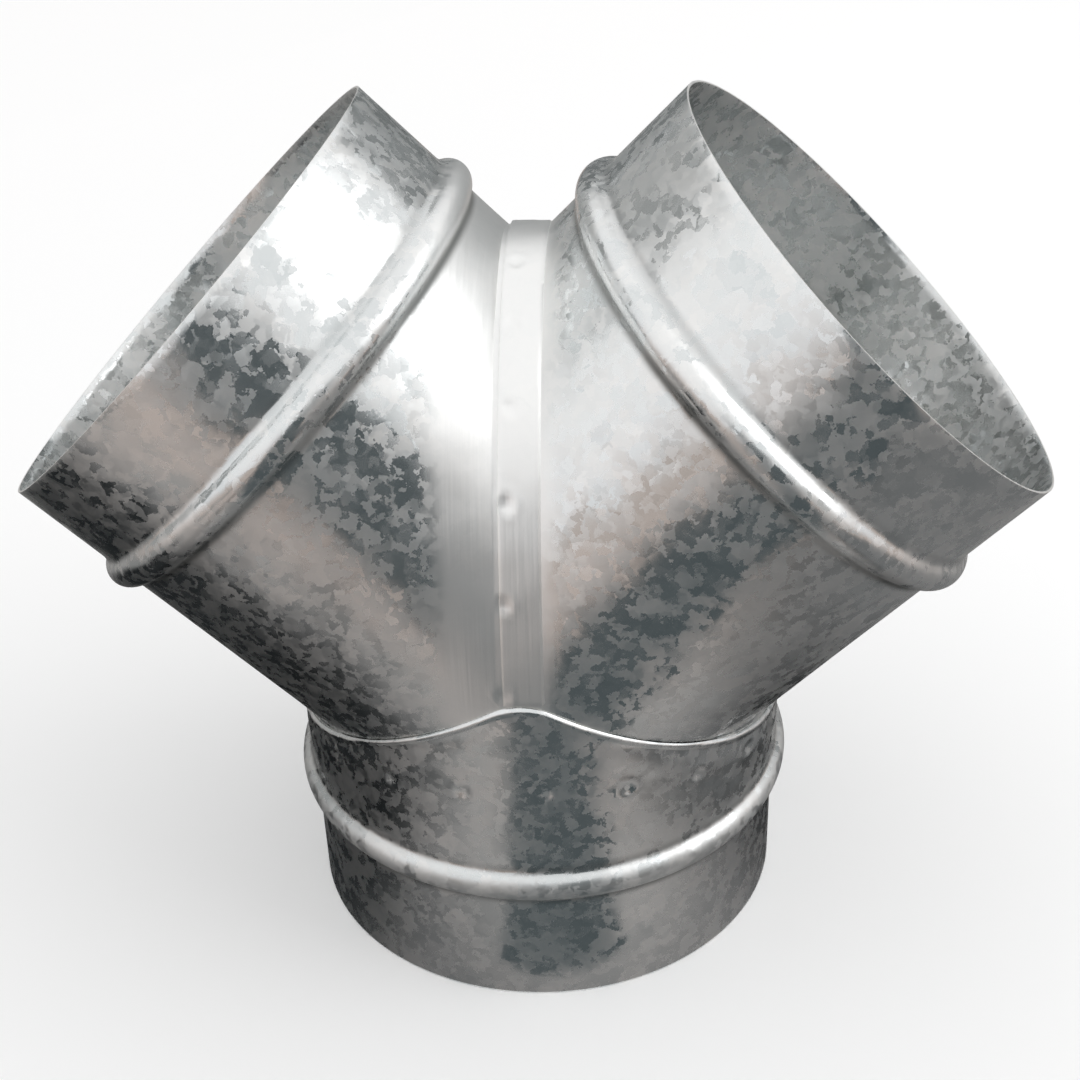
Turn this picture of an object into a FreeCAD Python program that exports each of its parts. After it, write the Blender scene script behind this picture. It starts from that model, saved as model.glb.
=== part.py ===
import FreeCAD, Part
import math
import os
import Sketcher
from FreeCAD import Placement, Rotation, Vector

# Sheet-steel Y branch for round duct: two mitred branch tubes that lap each other in the crotch,
# pushed as one neck into a collar that carries the trunk spigot. Millimetres, +Z up, the trunk's
# rim on the plane z = 0 and both branches in the XZ plane.

# Sizes that are set by hand, each with what it measures.
SIZES = [
    ("spigot_diameter", 150, "outside of all three spigots"),
    ("sheet_thickness", 0.7, "galvanised sheet"),
    ("branch_angle", 45, "degrees from the trunk's axis to a branch's axis"),
    ("branch_spigot", 36.5, "rim of a branch to the middle of its bead"),
    ("throat_length", 19.5, "crotch to bead along the inner side of a branch"),
    ("trunk_spigot", 44, "rim of the trunk to the middle of its bead"),
    ("socket_clearance", 9, "lower edge of the neck to the trunk's bead"),
    ("neck_overlap", 12, "neck inside the collar below the heel of the mitre"),
    ("bead_width", 14, "foot to foot of a rolled bead"),
    ("bead_height", 4, "crest of a bead over the spigot"),
    ("bead_foot_radius", 3, "outer fillet at the foot of a bead"),
    ("seam_flat", 12, "width of the flattened strip along the crotch seam"),
    ("lip_edge", 4.5, "raw edge of the upper lip beyond the middle of the seam"),
    ("collar_apex", 7.8, "collar's edge lines cross this high over the axes"),
    ("collar_edge_angle", 29, "degrees the collar's edge falls to either side"),
    ("collar_apex_radius", 18, "rounding of the collar's peak"),
    ("lap_clearance", 0.05, "between two sheets that lap"),
    ("butt_gap", 0.2, "between two sheets that meet edge to edge"),
]

# Sizes that follow from the ones above.
DERIVED = [
    ("spigot_radius", "Sizes.spigot_diameter / 2"),
    ("bore_radius", "Derived.spigot_radius - Sizes.sheet_thickness"),
    ("lap_inside", "Derived.spigot_radius + Sizes.lap_clearance"),
    ("lap_outside", "Derived.lap_inside + Sizes.sheet_thickness"),
    ("half_bead", "Sizes.bead_width / 2"),
    ("bead_turn", "2 * atan(Sizes.bead_height / Derived.half_bead)"),
    ("bead_radii", "Derived.half_bead / sin(Derived.bead_turn)"),
    ("crest_radius", "Derived.bead_radii - Sizes.bead_foot_radius"),
    ("crest_inside", "Derived.crest_radius - Sizes.sheet_thickness"),
    ("foot_inside", "Sizes.bead_foot_radius + Sizes.sheet_thickness"),
    ("crest_centre", "Derived.spigot_radius + Sizes.bead_height - Derived.crest_radius"),
    ("foot_centre", "Derived.spigot_radius + Sizes.bead_foot_radius"),
    ("socket_foot_centre", "Derived.lap_outside + Sizes.bead_foot_radius"),
    ("socket_rise", "Sizes.bead_height - Sizes.sheet_thickness - Sizes.lap_clearance"),
    ("socket_turn", "acos(1 - Derived.socket_rise / Derived.bead_radii)"),
    ("socket_half_bead", "Derived.bead_radii * sin(Derived.socket_turn)"),
    ("crotch_reach", "Derived.spigot_radius / tan(Sizes.branch_angle)"),
    ("branch_bead", "Derived.crotch_reach + Sizes.throat_length + Derived.half_bead"),
    ("branch_length", "Derived.branch_bead + Sizes.branch_spigot"),
    ("mitre_slope", "tan(Sizes.branch_angle / 2)"),
    ("edge_slope", "tan(Sizes.collar_edge_angle)"),
    ("neck_depth", "Derived.spigot_radius * Derived.mitre_slope + Sizes.neck_overlap"),
    ("socket_depth", "Derived.neck_depth + Sizes.socket_clearance + Derived.half_bead"),
    ("axes_height", "Derived.socket_depth + Sizes.trunk_spigot"),
    ("half_flat", "Sizes.seam_flat / 2"),
    ("flat_level", "Derived.half_flat / tan(Sizes.branch_angle)"),
    ("half_gap", "Sizes.butt_gap / 2"),
    ("apex_run", "Sizes.collar_apex_radius * sin(Sizes.collar_edge_angle)"),
    ("apex_drop", "Derived.apex_run * Derived.edge_slope"),
    ("reach", "3 * Derived.branch_length"),
    ("neck_reach", "Derived.spigot_radius + Sizes.sheet_thickness"),
]

FULL_TURN = 360
SMALL = 1e-9
# Flats in the fillet at a bead's foot, and in each half of its crest.
FOOT_FLATS = 1
CREST_FLATS = 2
LEFT = -1
RIGHT = 1

doc = FreeCAD.newDocument("duct_y_branch")


def fill_sheet(name, rows, prefix):
    """Write one spreadsheet, a cell with its alias per row."""
    sheet = doc.addObject("Spreadsheet::Sheet", name)
    for number, row in enumerate(rows, start=1):
        cell = "A%d" % number
        sheet.set(cell, prefix + str(row[1]))
        sheet.setAlias(cell, row[0])
    doc.recompute()
    return sheet


def number(expression):
    """Value of a sheet expression as a plain number."""
    found = sizes.evalExpression(expression)
    return float(getattr(found, "Value", found))


def signed(side, expression):
    """Expression for a distance to the left or to the right of the middle."""
    return expression if side == RIGHT else "-(%s)" % expression


def hold_point(sketch, edge, end, corner):
    """Tie one corner of a sketch to its two sheet expressions."""
    for axis, kind, expression in ((-2, "DistanceX", corner[0]), (-1, "DistanceY", corner[1])):
        value = number(expression)
        if abs(value) < SMALL:
            sketch.addConstraint(Sketcher.Constraint("PointOnObject", edge, end, axis))
        elif value > 0:
            at = sketch.addConstraint(Sketcher.Constraint(kind, -1, 1, edge, end, value))
            sketch.setExpression("Constraints[%d]" % at, expression)
        else:
            at = sketch.addConstraint(Sketcher.Constraint(kind, edge, end, -1, 1, -value))
            sketch.setExpression("Constraints[%d]" % at, "-(%s)" % expression)


def draw_outline(sketch, corners, bows):
    """Draw a closed outline. A bow turns the edge that leaves its corner into an arc.

    A bow gives the arc's centre, its radius and whether it runs anticlockwise.
    """
    ends = []
    count = len(corners)
    for place in range(count):
        start = Vector(number(corners[place][0]), number(corners[place][1]), 0)
        after = corners[(place + 1) % count]
        stop = Vector(number(after[0]), number(after[1]), 0)
        if place not in bows:
            sketch.addGeometry(Part.LineSegment(start, stop))
            ends.append((1, 2))
            continue
        centre_x, centre_y, radius, anticlockwise = bows[place]
        centre = Vector(number(centre_x), number(centre_y), 0)
        first, last = (start, stop) if anticlockwise else (stop, start)
        turn = [math.atan2(p.y - centre.y, p.x - centre.x) for p in (first, last)]
        ring = Part.Circle(centre, Vector(0, 0, 1), number(radius))
        sketch.addGeometry(Part.ArcOfCircle(ring, turn[0], turn[1]))
        ends.append((1, 2) if anticlockwise else (2, 1))
    for place in range(count):
        follow = (place + 1) % count
        joint = Sketcher.Constraint("Coincident", place, ends[place][1], follow, ends[follow][0])
        sketch.addConstraint(joint)
    for place in range(count):
        hold_point(sketch, place, ends[place][0], corners[place])
    for place, bow in bows.items():
        at = sketch.addConstraint(Sketcher.Constraint("Radius", place, number(bow[2])))
        sketch.setExpression("Constraints[%d]" % at, bow[2])


def stand(item, side):
    """Set an item on the point where the axes meet, leaning with its branch."""
    lean = 0 if side == 0 else number("Sizes.branch_angle")
    turn = Rotation(Vector(0, side if side else 1, 0), lean)
    item.Placement = Placement(Vector(0, 0, number("Derived.axes_height")), turn)
    item.setExpression("Placement.Base.z", "Derived.axes_height")
    if side:
        item.setExpression("Placement.Rotation.Angle", "Sizes.branch_angle")


def turned(name, corners):
    """Body turned once round its own axis from a wall profile."""
    body = doc.addObject("PartDesign::Body", name)
    plane = [f for f in body.Origin.OriginFeatures if f.Role == "XZ_Plane"][0]
    sketch = body.newObject("Sketcher::SketchObject", name + "_wall")
    sketch.AttachmentSupport = (plane, [""])
    sketch.MapMode = "FlatFace"
    draw_outline(sketch, corners, {})
    doc.recompute()
    wall = body.newObject("PartDesign::Revolution", name + "_turn")
    wall.Profile = sketch
    wall.ReferenceAxis = (sketch, ["V_Axis"])
    wall.Angle = FULL_TURN
    body.Tip = wall
    doc.recompute()
    return body


def prism(name, corners, bows=None):
    """Block through the whole depth, its outline drawn in the XZ plane from the axes' meeting point."""
    sketch = doc.addObject("Sketcher::SketchObject", name + "_outline")
    draw_outline(sketch, corners, bows or {})
    sketch.Placement = Placement(Vector(), Rotation(Vector(1, 0, 0), 90))
    sketch.setExpression("Placement.Base.z", "Derived.axes_height")
    block = doc.addObject("Part::Extrusion", name)
    block.Base = sketch
    block.DirMode = "Normal"
    block.Symmetric = True
    block.Solid = True
    block.setExpression("LengthFwd", "Derived.reach")
    doc.recompute()
    return block


def plain_tube(name, side, outside, inside, length):
    """Straight tube on the trunk's axis, or on a branch's axis."""
    rounds = []
    for word, radius in (("outside", outside), ("inside", inside)):
        rod = doc.addObject("Part::Cylinder", name + "_" + word)
        rod.setExpression("Radius", radius)
        rod.setExpression("Height", length)
        stand(rod, side)
        rounds.append(rod)
    tube = doc.addObject("Part::Cut", name)
    tube.Base, tube.Tool = rounds
    doc.recompute()
    return tube


def strip_ring(name, outside, inside):
    """Oval ring across the seam: a branch tube's own section, drawn out along X."""
    ovals = []
    for word, radius in (("outside", outside), ("inside", inside)):
        oval = doc.addObject("Part::Ellipse", name + "_" + word + "_section")
        oval.setExpression("MajorRadius", radius + " / sin(Sizes.branch_angle)")
        oval.setExpression("MinorRadius", radius)
        oval.Placement = Placement(Vector(), Rotation(Vector(0, 1, 0), -90))
        oval.setExpression("Placement.Base.z", "Derived.axes_height + Derived.flat_level")
        block = doc.addObject("Part::Extrusion", name + "_" + word)
        block.Base = oval
        block.DirMode = "Custom"
        block.Dir = Vector(1, 0, 0)
        block.Symmetric = True
        block.Solid = True
        block.setExpression("LengthFwd", "4 * Derived.half_flat")
        ovals.append(block)
    ring = doc.addObject("Part::Cut", name)
    ring.Base, ring.Tool = ovals
    doc.recompute()
    return ring


def kept(name, item, block):
    """Part of an item that lies inside a block."""
    both = doc.addObject("Part::MultiCommon", name)
    both.Shapes = [item, block]
    doc.recompute()
    return both


def joined(label, pieces):
    """One finished sheet from its joined pieces."""
    whole = doc.addObject("Part::MultiFuse", label)
    whole.Shapes = pieces
    whole.Refine = True
    whole.Label = label
    doc.recompute()
    return whole


sizes = fill_sheet("Sizes", SIZES, "")
fill_sheet("Derived", DERIVED, "=")


def bead_side(middle, foot, crest, high_turn, high_centre, high_half):
    """One side of a bead from its lower to its upper foot, its curves drawn in short flats.

    The upper foot may stand on a wider wall than the lower one.
    """
    corners = []
    for flat in range(FOOT_FLATS):
        turn = "Derived.bead_turn * %d / %d" % (flat, FOOT_FLATS)
        corners.append(("Derived.foot_centre - %s * cos(%s)" % (foot, turn),
                        "%s - Derived.half_bead + %s * sin(%s)" % (middle, foot, turn)))
    for flat in range(-CREST_FLATS, CREST_FLATS + 1):
        turn = "%s * %d / %d" % (high_turn if flat > 0 else "Derived.bead_turn", flat, CREST_FLATS)
        corners.append(("Derived.crest_centre + %s * cos(%s)" % (crest, turn),
                        "%s + %s * sin(%s)" % (middle, crest, turn)))
    for flat in reversed(range(FOOT_FLATS)):
        turn = "%s * %d / %d" % (high_turn, flat, FOOT_FLATS)
        corners.append(("%s - %s * cos(%s)" % (high_centre, foot, turn),
                        "%s + %s - %s * sin(%s)" % (middle, high_half, foot, turn)))
    return corners


def beaded_wall(middle, top, top_outside, top_inside, high):
    """Wall profile of a tube: straight sheet, one rolled bead, straight sheet up to its top."""
    outer = bead_side(middle, "Sizes.bead_foot_radius", "Derived.crest_radius", *high)
    inner = bead_side(middle, "Derived.foot_inside", "Derived.crest_inside", *high)
    start = [("Derived.spigot_radius", "0")]
    rim = [(top_outside, top), (top_inside, top)]
    finish = [("Derived.bore_radius", "0")]
    return start + outer + rim + inner[::-1] + finish


def branch_profile():
    """Wall of a branch tube, from the axes' meeting point to its rim."""
    same_foot = ("Derived.bead_turn", "Derived.foot_centre", "Derived.half_bead")
    return beaded_wall("Derived.branch_bead", "Derived.branch_length", "Derived.spigot_radius",
                       "Derived.bore_radius", same_foot)


def collar_profile():
    """Wall of the collar: spigot, bead, and the wider socket that takes the neck."""
    socket_foot = ("Derived.socket_turn", "Derived.socket_foot_centre", "Derived.socket_half_bead")
    return beaded_wall("Sizes.trunk_spigot", "Derived.axes_height + Sizes.collar_apex",
                       "Derived.lap_outside", "Derived.lap_inside", socket_foot)


def wall_block(name, side):
    """Space a branch tube keeps: its side of the mitre and clear of the flat strip."""
    mitre = "-(%s) * Derived.mitre_slope"
    corners = [
        (signed(side, "Derived.half_gap"), mitre % "Derived.half_gap"),
        (signed(side, "Derived.reach"), mitre % "Derived.reach"),
        (signed(side, "Derived.reach"), "Derived.reach"),
        (signed(side, "Derived.half_flat"), "Derived.reach"),
        (signed(side, "Derived.half_flat"), "Derived.flat_level"),
        (signed(side, "Derived.half_gap"), "Derived.flat_level"),
    ]
    return prism(name, corners)


def neck_block(name, side):
    """Space of one half of the neck, below the mitre."""
    mitre = "-(%s) * Derived.mitre_slope"
    corners = [
        (signed(side, "Derived.half_gap"), mitre % "Derived.half_gap"),
        (signed(side, "Derived.neck_reach"), mitre % "Derived.neck_reach"),
        (signed(side, "Derived.neck_reach"), "-Derived.neck_depth"),
        (signed(side, "Derived.half_gap"), "-Derived.neck_depth"),
    ]
    return prism(name, corners)


def upright_block(name, near, far):
    """Upright slice of the seam strip between two distances from its middle."""
    corners = [
        (near, "Derived.flat_level"),
        (far, "Derived.flat_level"),
        (far, "Derived.reach"),
        (near, "Derived.reach"),
    ]
    return prism(name, corners)


# Two branch tubes and the neck that both share.
tubes = {}
for side, word in ((LEFT, "left"), (RIGHT, "right")):
    tubes[side] = turned(word + "_tube", branch_profile())
    stand(tubes[side], side)
neck = plain_tube("neck_tube", 0, "Derived.spigot_radius", "Derived.bore_radius", "Derived.neck_depth")
neck.Placement = Placement(Vector(0, 0, -number("Derived.neck_depth")), Rotation())
neck.setExpression("Placement.Base.z", "-Derived.neck_depth")

# Left branch: its own strip lies underneath in the crotch.
left_wall = kept("left_wall", tubes[LEFT], wall_block("left_space", LEFT))
left_neck = kept("left_neck", neck, neck_block("left_neck_space", LEFT))
under_ring = strip_ring("under_ring", "Derived.spigot_radius", "Derived.bore_radius")
under_block = prism("under_space", [
    ("-Derived.half_flat", "Derived.flat_level"),
    ("-Derived.half_gap", "Derived.flat_level"),
    ("-Derived.half_gap", "Derived.flat_level + Sizes.butt_gap"),
    ("Derived.half_flat - Sizes.butt_gap", "Derived.flat_level + Sizes.butt_gap"),
    ("Derived.half_flat - Sizes.butt_gap", "Derived.reach"),
    ("-Derived.half_flat", "Derived.reach"),
])
under_strip = kept("under_strip", under_ring, under_block)
left_branch = joined("left_branch", [left_wall, left_neck, under_strip])

# Right branch: its lip is set out by one sheet and covers that strip.
right_wall = kept("right_wall", tubes[RIGHT], wall_block("right_space", RIGHT))
right_neck = kept("right_neck", neck, neck_block("right_neck_space", RIGHT))
lip_ring = strip_ring("lip_ring", "Derived.lap_outside", "Derived.lap_inside")
lip_block = upright_block("lip_space", "-Sizes.lip_edge", "Derived.half_flat")
lip = kept("lip", lip_ring, lip_block)
step_tube = plain_tube("step_tube", RIGHT, "Derived.lap_outside", "Derived.bore_radius",
                       "Derived.branch_bead")
step_block = upright_block("step_space", "Derived.half_flat", "Derived.half_flat + Sizes.sheet_thickness")
step = kept("step", step_tube, step_block)
right_branch = joined("right_branch", [right_wall, right_neck, step, lip])

# Collar: turned below the mitre, and following each branch where its edge rises past the mitre.
below_mitre = prism("below_mitre", [
    ("0", "0"),
    ("-Derived.reach", "-Derived.reach * Derived.mitre_slope"),
    ("-Derived.reach", "-Derived.reach"),
    ("Derived.reach", "-Derived.reach"),
    ("Derived.reach", "-Derived.reach * Derived.mitre_slope"),
])
collar_wall = kept("collar_wall", turned("collar_tube", collar_profile()), below_mitre)
tongues = []
for side, word in ((LEFT, "left"), (RIGHT, "right")):
    sleeve = plain_tube(word + "_sleeve", side, "Derived.lap_outside", "Derived.lap_inside",
                        "Derived.crotch_reach")
    above_mitre = prism(word + "_above_mitre", [
        ("0", "0"),
        (signed(side, "Derived.reach"), "-Derived.reach * Derived.mitre_slope"),
        (signed(side, "Derived.reach"), "Derived.reach"),
        ("0", "Derived.reach"),
    ])
    tongues.append(kept(word + "_tongue", sleeve, above_mitre))
collar_blank = joined("collar_blank", [collar_wall] + tongues)
edge_level = "Sizes.collar_apex - Derived.apex_drop"
edge_foot = "Sizes.collar_apex - Derived.reach * Derived.edge_slope"
under_edge = prism("under_edge", [
    ("Derived.apex_run", edge_level),
    ("-Derived.apex_run", edge_level),
    ("-Derived.reach", edge_foot),
    ("-Derived.reach", "-2 * Derived.reach"),
    ("Derived.reach", "-2 * Derived.reach"),
    ("Derived.reach", edge_foot),
], {0: ("0", edge_level + " - Sizes.collar_apex_radius * cos(Sizes.collar_edge_angle)",
        "Sizes.collar_apex_radius", True)})
trunk_collar = kept("trunk_collar", collar_blank, under_edge)
trunk_collar.Label = "trunk_collar"

faulty = [item.Name for item in doc.Objects if {"Invalid", "Error"} & set(item.State)]
if faulty:
    raise RuntimeError("objects not computed: " + ", ".join(faulty))

os.makedirs("parts", exist_ok=True)
for sheet_part in (left_branch, right_branch, trunk_collar):
    shape = sheet_part.Shape
    if shape.isNull() or not shape.isValid() or len(shape.Solids) != 1:
        raise RuntimeError(sheet_part.Label + " is not one sound solid")
    shape.exportStep("parts/%s.step" % sheet_part.Label)
    print(sheet_part.Label, round(shape.Volume), [round(v, 2) for v in (
        shape.BoundBox.XMin, shape.BoundBox.XMax, shape.BoundBox.YMin,
        shape.BoundBox.YMax, shape.BoundBox.ZMin, shape.BoundBox.ZMax)], len(shape.Faces))
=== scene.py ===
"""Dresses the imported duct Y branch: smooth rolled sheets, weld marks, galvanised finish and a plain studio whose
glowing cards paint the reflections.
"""

import logging
import math
from dataclasses import dataclass, field
from enum import Enum
from typing import Any, Callable, Dict, Iterable, List, Optional, Sequence, Tuple, Union

import bmesh
import bpy
from mathutils import Matrix, Vector, noise


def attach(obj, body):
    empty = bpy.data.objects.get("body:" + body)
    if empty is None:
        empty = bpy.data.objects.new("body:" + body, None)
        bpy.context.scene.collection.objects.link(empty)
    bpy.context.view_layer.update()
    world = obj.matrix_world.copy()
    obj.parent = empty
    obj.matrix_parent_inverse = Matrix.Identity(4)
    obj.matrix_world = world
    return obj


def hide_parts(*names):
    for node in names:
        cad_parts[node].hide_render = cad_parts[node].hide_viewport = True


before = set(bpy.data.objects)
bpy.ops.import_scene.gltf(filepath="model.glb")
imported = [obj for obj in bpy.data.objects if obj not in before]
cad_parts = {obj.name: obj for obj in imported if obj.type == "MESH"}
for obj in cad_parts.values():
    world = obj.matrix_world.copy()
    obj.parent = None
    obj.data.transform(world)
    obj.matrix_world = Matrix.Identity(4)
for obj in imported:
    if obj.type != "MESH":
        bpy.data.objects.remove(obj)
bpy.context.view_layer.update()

LOG = logging.getLogger("duct_y_branch")
STEPS_AROUND = 384
SAME_PLACE = 1e-6
NEXT_TO_NOTHING = 1e-7

Colour = Tuple[float, float, float]
Value = Union[bpy.types.NodeSocket, float, Sequence[float]]


class Side(Enum):
    """The two branches, by the sign of X they lean to."""

    LEFT = -1
    RIGHT = 1


class Streaks(Enum):
    """Which sheets have a rubbed band along the crotch seam, lightened with painted sheen."""

    NONE = 0
    SEAM = 1


@dataclass(frozen=True)
class DuctSizes:
    """Sizes the three sheets share, in metres and radians, as the solids have them."""

    spigot_radius: float = 0.075
    sheet: float = 0.0007
    branch_angle: float = math.radians(45)
    branch_spigot: float = 0.0365
    throat: float = 0.0195
    trunk_spigot: float = 0.044
    socket_clearance: float = 0.009
    neck_overlap: float = 0.012
    bead_width: float = 0.014
    bead_height: float = 0.004
    bead_foot: float = 0.003
    seam_flat: float = 0.012
    lip_edge: float = 0.0045
    collar_apex: float = 0.0078
    collar_fall: float = math.radians(29)
    collar_apex_radius: float = 0.018
    lap_clearance: float = 0.00005
    butt_gap: float = 0.0002

    @property
    def half_bead(self) -> float:
        """Foot of a bead to its middle."""
        return self.bead_width / 2

    @property
    def bead_turn(self) -> float:
        """Angle a bead's curve turns through between its foot and its crest."""
        return 2 * math.atan(self.bead_height / self.half_bead)

    @property
    def bead_radii(self) -> float:
        """Foot radius and crest radius of a bead together."""
        return self.half_bead / math.sin(self.bead_turn)

    @property
    def lap_radius(self) -> float:
        """Outside of a sheet that laps over another."""
        return self.spigot_radius + self.lap_clearance + self.sheet

    @property
    def half_flat(self) -> float:
        """Middle of the crotch seam to a bend of its flat strip."""
        return self.seam_flat / 2

    @property
    def flat_level(self) -> float:
        """Height of the strip's oval over the meeting point of the axes."""
        return self.half_flat / math.tan(self.branch_angle)

    @property
    def branch_bead(self) -> float:
        """Meeting point of the axes to the middle of a branch's bead."""
        return self.spigot_radius / math.tan(self.branch_angle) + self.throat + self.half_bead

    @property
    def branch_length(self) -> float:
        """Meeting point of the axes to the rim of a branch."""
        return self.branch_bead + self.branch_spigot

    @property
    def mitre_slope(self) -> float:
        """Fall of the mitre per distance from the middle."""
        return math.tan(self.branch_angle / 2)

    @property
    def neck_depth(self) -> float:
        """Meeting point of the axes down to the lower edge of the neck."""
        return self.spigot_radius * self.mitre_slope + self.neck_overlap

    @property
    def axes_height(self) -> float:
        """Height of the meeting point of the axes over the trunk's rim."""
        return self.neck_depth + self.socket_clearance + self.half_bead + self.trunk_spigot


SIZES = DuctSizes()


def spread(first: float, last: float, count: int) -> List[float]:
    """Evenly spaced numbers.

    Args:
        first: The first number.
        last: The last number.
        count: How many steps lie between them.

    Returns:
        All numbers from first to last, both included.
    """
    return [first + (last - first) * step / count for step in range(count + 1)]


def smooth_fall(distance: float, reach: float) -> float:
    """Weight that falls smoothly from 1 in the middle to 0 at the reach.

    Args:
        distance: Distance from the middle.
        reach: Distance at which the weight is gone.

    Returns:
        The weight, from 0 to 1.
    """
    share = min(max(distance / reach, 0.0), 1.0)
    return (1 - share * share) ** 2


@dataclass(frozen=True)
class BeadCurve:
    """Outline of a rolled bead from its lower foot to its upper foot."""

    sizes: DuctSizes
    middle: float
    upper_radius: float
    fine: int = 6

    def points(self) -> List[Tuple[float, float]]:
        """Radius and height of each point of the outline.

        Returns:
            The points in order, both feet included.
        """
        s = self.sizes
        crest = s.bead_radii - s.bead_foot
        rise = s.bead_height - (self.upper_radius - s.spigot_radius)
        upper_turn = math.acos(1 - rise / s.bead_radii)
        upper_foot = s.bead_radii * math.sin(upper_turn)
        centre = s.spigot_radius + s.bead_height - crest
        low = [
            (
                s.spigot_radius + s.bead_foot * (1 - math.cos(turn)),
                self.middle - s.half_bead + s.bead_foot * math.sin(turn),
            )
            for turn in spread(0, s.bead_turn, self.fine)[:-1]
        ]
        top = [
            (centre + crest * math.cos(turn), self.middle + crest * math.sin(turn))
            for turn in spread(-s.bead_turn, 0, self.fine) + spread(0, upper_turn, self.fine)[1:]
        ]
        high = [
            (
                self.upper_radius + s.bead_foot * (1 - math.cos(turn)),
                self.middle + upper_foot - s.bead_foot * math.sin(turn),
            )
            for turn in spread(upper_turn, 0, self.fine)[1:]
        ]
        return low + top + high


@dataclass
class WeldSpot:
    """One round electrode mark pressed into a sheet."""

    place: Vector
    radius: float = 0.0030
    depth: float = 0.00050
    ridge_height: float = 0.25
    ridge_width: float = 0.5

    def sink(self, point: Vector) -> float:
        """How far a point of the sheet is pressed in by this mark.

        Args:
            point: A point on the sheet.

        Returns:
            The depth there, negative on the small ridge around the mark.
        """
        away = (point - self.place).length
        dish = self.depth * smooth_fall(away, self.radius)
        ridge = self.ridge_height * self.depth * smooth_fall(abs(away - self.radius), self.radius * self.ridge_width)
        return dish - ridge


@dataclass
class SheetPiece:
    """A rolled sheet: modelled as its outer face, then given its thickness."""

    name: str
    node: str
    sizes: DuctSizes = SIZES
    welds: List[WeldSpot] = field(default_factory=list)
    ripple: float = 0.00022
    ripple_length: float = 0.034
    calm_reach: float = 0.012
    burr: float = 0.00025
    burr_steps: int = 2
    edge_turn: float = math.radians(70)
    smooth_turn: float = math.radians(32)

    def outer_face(self, mesh: bmesh.types.BMesh) -> None:
        """Model the sheet's outer face.

        Args:
            mesh: The empty mesh to fill.
        """
        raise NotImplementedError

    def calm(self, point: Vector) -> float:
        """How much of the ripple a point takes: none at laps and rims.

        Args:
            point: A point on the outer face.

        Returns:
            A weight from 0 to 1.
        """
        raise NotImplementedError

    def work_surface(self, mesh: bmesh.types.BMesh) -> None:
        """Give the sheet its weld marks and the faint ripple of rolled metal.

        Args:
            mesh: The outer face.
        """
        moves = []
        for vert in mesh.verts:
            wave = 0.5 + 0.5 * noise.noise(vert.co / self.ripple_length)
            inward = self.ripple * wave * self.calm(vert.co)
            near = [w for w in self.welds if (vert.co - w.place).length < 2 * w.radius]
            inward += sum(weld.sink(vert.co) for weld in near)
            moves.append(vert.co - vert.normal * inward)
        for vert, place in zip(mesh.verts, moves):
            vert.co = place

    def build(self) -> bpy.types.Object:
        """Model the sheet and give it its thickness and rounded edges.

        Returns:
            The modelled piece, with the modifiers that dress() fixes.
        """
        mesh = bmesh.new()
        self.outer_face(mesh)
        bmesh.ops.remove_doubles(mesh, verts=mesh.verts, dist=SAME_PLACE)
        bmesh.ops.recalc_face_normals(mesh, faces=mesh.faces)
        self.face_outwards(mesh)
        mesh.normal_update()
        self.work_surface(mesh)
        data = bpy.data.meshes.new(self.name)
        mesh.to_mesh(data)
        mesh.free()
        piece = bpy.data.objects.new(self.name, data)
        bpy.context.scene.collection.objects.link(piece)
        wall = piece.modifiers.new("wall", "SOLIDIFY")
        wall.thickness = self.sizes.sheet
        wall.offset = -1
        wall.use_even_offset = True
        wall.material_offset_rim = 1
        self.thin_out(piece, wall)
        rounding = piece.modifiers.new("rounding", "BEVEL")
        rounding.limit_method = "ANGLE"
        rounding.angle_limit = self.edge_turn
        rounding.width = self.burr
        rounding.segments = self.burr_steps
        rounding.profile = 0.5
        rounding.material = 1
        return piece

    def thin_out(self, piece: bpy.types.Object, wall: bpy.types.SolidifyModifier) -> None:
        """Thin the sheet where its edge is pressed down; a plain sheet keeps its thickness.

        Args:
            piece: The modelled sheet.
            wall: The modifier that gives it its thickness.
        """

    def face_outwards(self, mesh: bmesh.types.BMesh) -> None:
        """Turn all faces over if the sheet came out inside out.

        Args:
            mesh: The outer face, with consistent normals.
        """
        widest = max(mesh.faces, key=lambda f: abs(f.calc_center_median().y))
        if widest.normal.y * widest.calc_center_median().y < 0:
            bmesh.ops.reverse_faces(mesh, faces=mesh.faces)

    def dress(self, piece: bpy.types.Object, sheet: bpy.types.Material, edge: bpy.types.Material) -> None:
        """Fix the sheet's thickness, shade it smooth and give it its finishes.

        Args:
            piece: The modelled sheet.
            sheet: Finish of both faces.
            edge: Finish of the raw cut edges.
        """
        piece.data.materials.append(sheet)
        piece.data.materials.append(edge)
        graph = bpy.context.evaluated_depsgraph_get()
        solid = bpy.data.meshes.new_from_object(piece.evaluated_get(graph))
        piece.modifiers.clear()
        piece.vertex_groups.clear()
        piece.data = solid
        solid.name = self.name
        solid.shade_smooth()
        solid.set_sharp_from_angle(angle=self.smooth_turn)
        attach(piece, "root")
        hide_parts(self.node)
        LOG.info("%s: %d faces", self.name, len(solid.polygons))


def spin_wall(mesh: bmesh.types.BMesh, rows: Iterable[Tuple[float, float]]) -> None:
    """Turn a wall's outline once round the Z axis.

    Args:
        mesh: The mesh to fill.
        rows: Radius and height of the outline's points, in order.
    """
    verts = [mesh.verts.new((radius, 0.0, height)) for radius, height in rows]
    edges = [mesh.edges.new(pair) for pair in zip(verts, verts[1:])]
    bmesh.ops.spin(
        mesh,
        geom=verts + edges,
        cent=(0, 0, 0),
        axis=(0, 0, 1),
        dvec=(0, 0, 0),
        angle=math.tau,
        steps=STEPS_AROUND,
        use_merge=True,
        use_duplicate=False,
    )


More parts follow.
